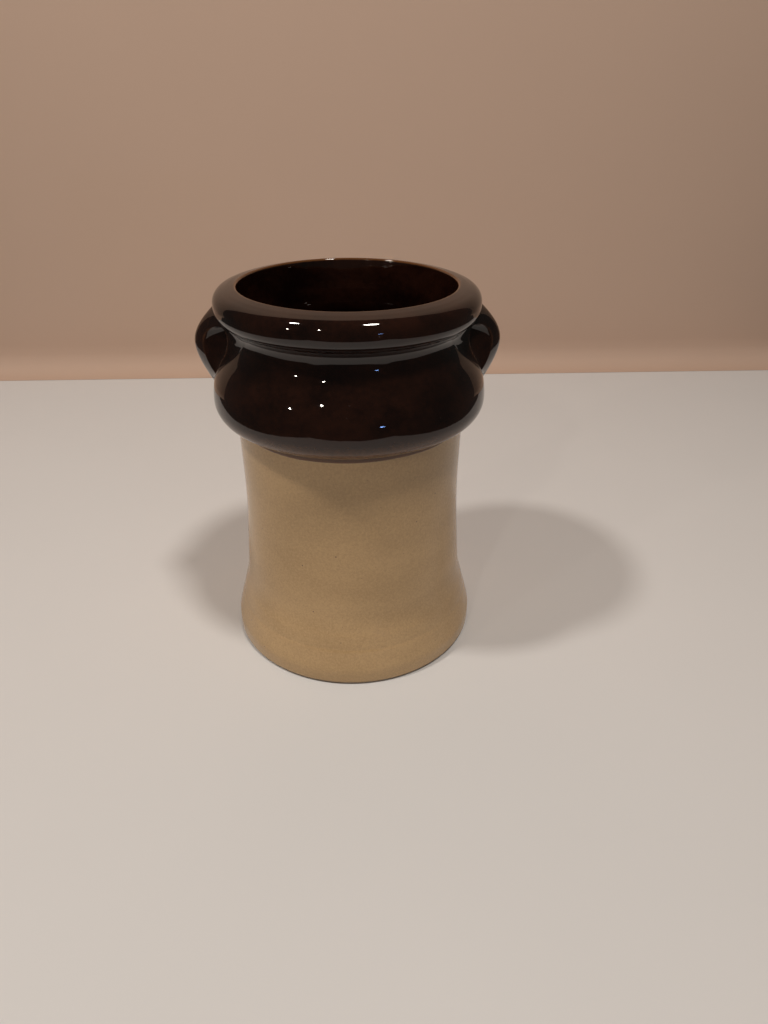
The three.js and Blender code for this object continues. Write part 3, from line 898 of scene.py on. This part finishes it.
LAMPS = (
    # name, azimuth, elevation, distance, width, height, watts, colour
    ("key", -69, 59, 1.3, 0.12, 0.12, 5.7, (1, 0.93, 0.86)),
    ("second", 35, 70, 1.3, 0.18, 0.18, 7.4, (1, 0.93, 0.86)),
    ("lamp_left", -50.5, 21, 1.5, 0.035, 0.035, 0.9, (1, 0.9, 0.78)),
    ("lamp_right", -25.3, 33, 1.5, 0.04, 0.04, 1.3, (1, 0.9, 0.78)),
    ("window", 23.5, 2.2, 1.5, 0.1, 0.025, 0.25, (0.25, 0.45, 1)),
)


class CROCK_OT_stage(Operator):
    """Set the table, the wall, the lights and the camera"""

    bl_idname = "crock.stage"
    bl_label = "Stage"

    def execute(self, context):
        scene, stage = context.scene, context.scene.crock_stage
        self.set_table(stage)
        self.set_wall(stage)
        for name, azimuth, elevation, distance, width, height, watts, colour in LAMPS:
            lamp = bpy.data.lights.new(name, "AREA")
            lamp.shape, lamp.size, lamp.size_y = "ELLIPSE", width, height
            lamp.energy, lamp.color = watts, colour
            holder = bpy.data.objects.new(name, lamp)
            aim = Vector((0, 0, LAMP_AIM * HEIGHT))
            holder.location = aim + towards(azimuth, elevation) * distance
            holder.rotation_mode = "QUATERNION"
            holder.rotation_quaternion = towards(azimuth, elevation).to_track_quat("Z", "Y")
            scene.collection.objects.link(holder)
        world = bpy.data.worlds.new("room")
        world.use_nodes = True
        world.node_tree.nodes["Background"].inputs["Color"].default_value = (*stage.room_tone, 1)
        scene.world = world
        scene.view_settings.view_transform = "Standard"
        self.set_camera(scene, stage)
        return {"FINISHED"}

    def set_table(self, stage):
        """A flat sheet that runs back under the wall and narrows evenly to the front."""
        lines, under_wall = 9, 0.01
        across = np.linspace(-stage.table_side, stage.table_side, lines)
        back = np.linspace(-stage.table_front, stage.wall_behind + under_wall, lines)
        x, y = np.meshgrid(across, back)
        x = x * (1 - stage.table_taper * np.linspace(1, 0, lines)[:, None])
        points = np.stack([x, y, np.zeros_like(x)], -1).reshape(-1, 3)
        faces = [sheet(len(back), len(across))]
        finishes = [plain("table_white", stage.table_tone, 0.55)]
        table = shaped("table", points, faces, finishes, np.zeros(len(faces[0])), np.zeros(len(points)))

    def set_wall(self, stage):
        """A wall across the table that curves up from it: a line of (distance, height) carried along X."""
        run, lift, curve, step = 0.03, 0.0002, 0.02, 0.01
        side, height, columns = 0.75, 1.1, 24
        behind = stage.wall_behind
        corners = [(behind - run, lift, 0), (behind, lift, curve), (behind, height, 0)]
        line = evenly(rounded(np.array(corners)), step)
        across = np.linspace(-side, side, columns)
        x, y = np.meshgrid(across, line[:, 0])
        z = np.broadcast_to(line[:, 1:], x.shape)
        points = np.stack([x, y, z], -1).reshape(-1, 3)
        faces = [sheet(len(line), len(across))]
        finishes = [plain("wall_plaster", stage.wall_tone, 0.8)]
        wall = shaped("wall", points, faces, finishes, np.zeros(len(faces[0])), np.zeros(len(points)))

    def set_camera(self, scene, stage):
        """A camera that stands in front and above, turned by yaw and pitch, then rolled about its line of sight."""
        pitch, yaw, roll = stage.camera_pitch, stage.camera_yaw, stage.camera_roll
        sight = Vector((
            math.sin(yaw) * math.cos(pitch), math.cos(yaw) * math.cos(pitch), -math.sin(pitch)
        ))
        level = Vector((math.cos(yaw), -math.sin(yaw), 0))
        upright = level.cross(sight)
        right = math.cos(roll) * level + math.sin(roll) * upright
        up = math.cos(roll) * upright - math.sin(roll) * level
        lens = bpy.data.cameras.new("camera")
        lens.lens, lens.sensor_width = stage.camera_lens, 36
        lens.clip_start, lens.clip_end = 0.01, 20
        camera = bpy.data.objects.new("camera", lens)
        turn_matrix = Matrix((right, up, -sight)).transposed()
        camera.matrix_world = Matrix.Translation((0, -stage.camera_back, stage.camera_up)) @ turn_matrix.to_4x4()
        scene.collection.objects.link(camera)
        scene.camera = camera


class CROCK_PT_panel(Panel):
    """Lists the steps of making the crock"""

    bl_label = "Butter crock"
    bl_idname = "CROCK_PT_panel"
    bl_space_type = "VIEW_3D"
    bl_region_type = "UI"
    bl_category = "Crock"

    def draw(self, context):
        for step in STEPS:
            self.layout.operator(step.bl_idname)


GROUPS = {
    "crock_shape": CrockShape,
    "crock_ears": CrockEars,
    "crock_look": CrockLook,
    "crock_stage": CrockStage,
}
STEPS = (
    CROCK_OT_base,
    CROCK_OT_foot,
    CROCK_OT_barrel,
    CROCK_OT_belly,
    CROCK_OT_neck,
    CROCK_OT_rim,
    CROCK_OT_ears,
    CROCK_OT_stage,
)


def register():
    for cls in (*GROUPS.values(), *STEPS, CROCK_PT_panel):
        bpy.utils.register_class(cls)
    for name, group in GROUPS.items():
        setattr(bpy.types.Scene, name, PointerProperty(type=group))


def unregister():
    for name in GROUPS:
        delattr(bpy.types.Scene, name)
    for cls in (CROCK_PT_panel, *reversed(STEPS), *reversed(GROUPS.values())):
        bpy.utils.unregister_class(cls)


def main():
    register()
    for step in STEPS:
        group, name = step.bl_idname.split(".")
        getattr(getattr(bpy.ops, group), name)()


if __name__ == "__main__":
    main()
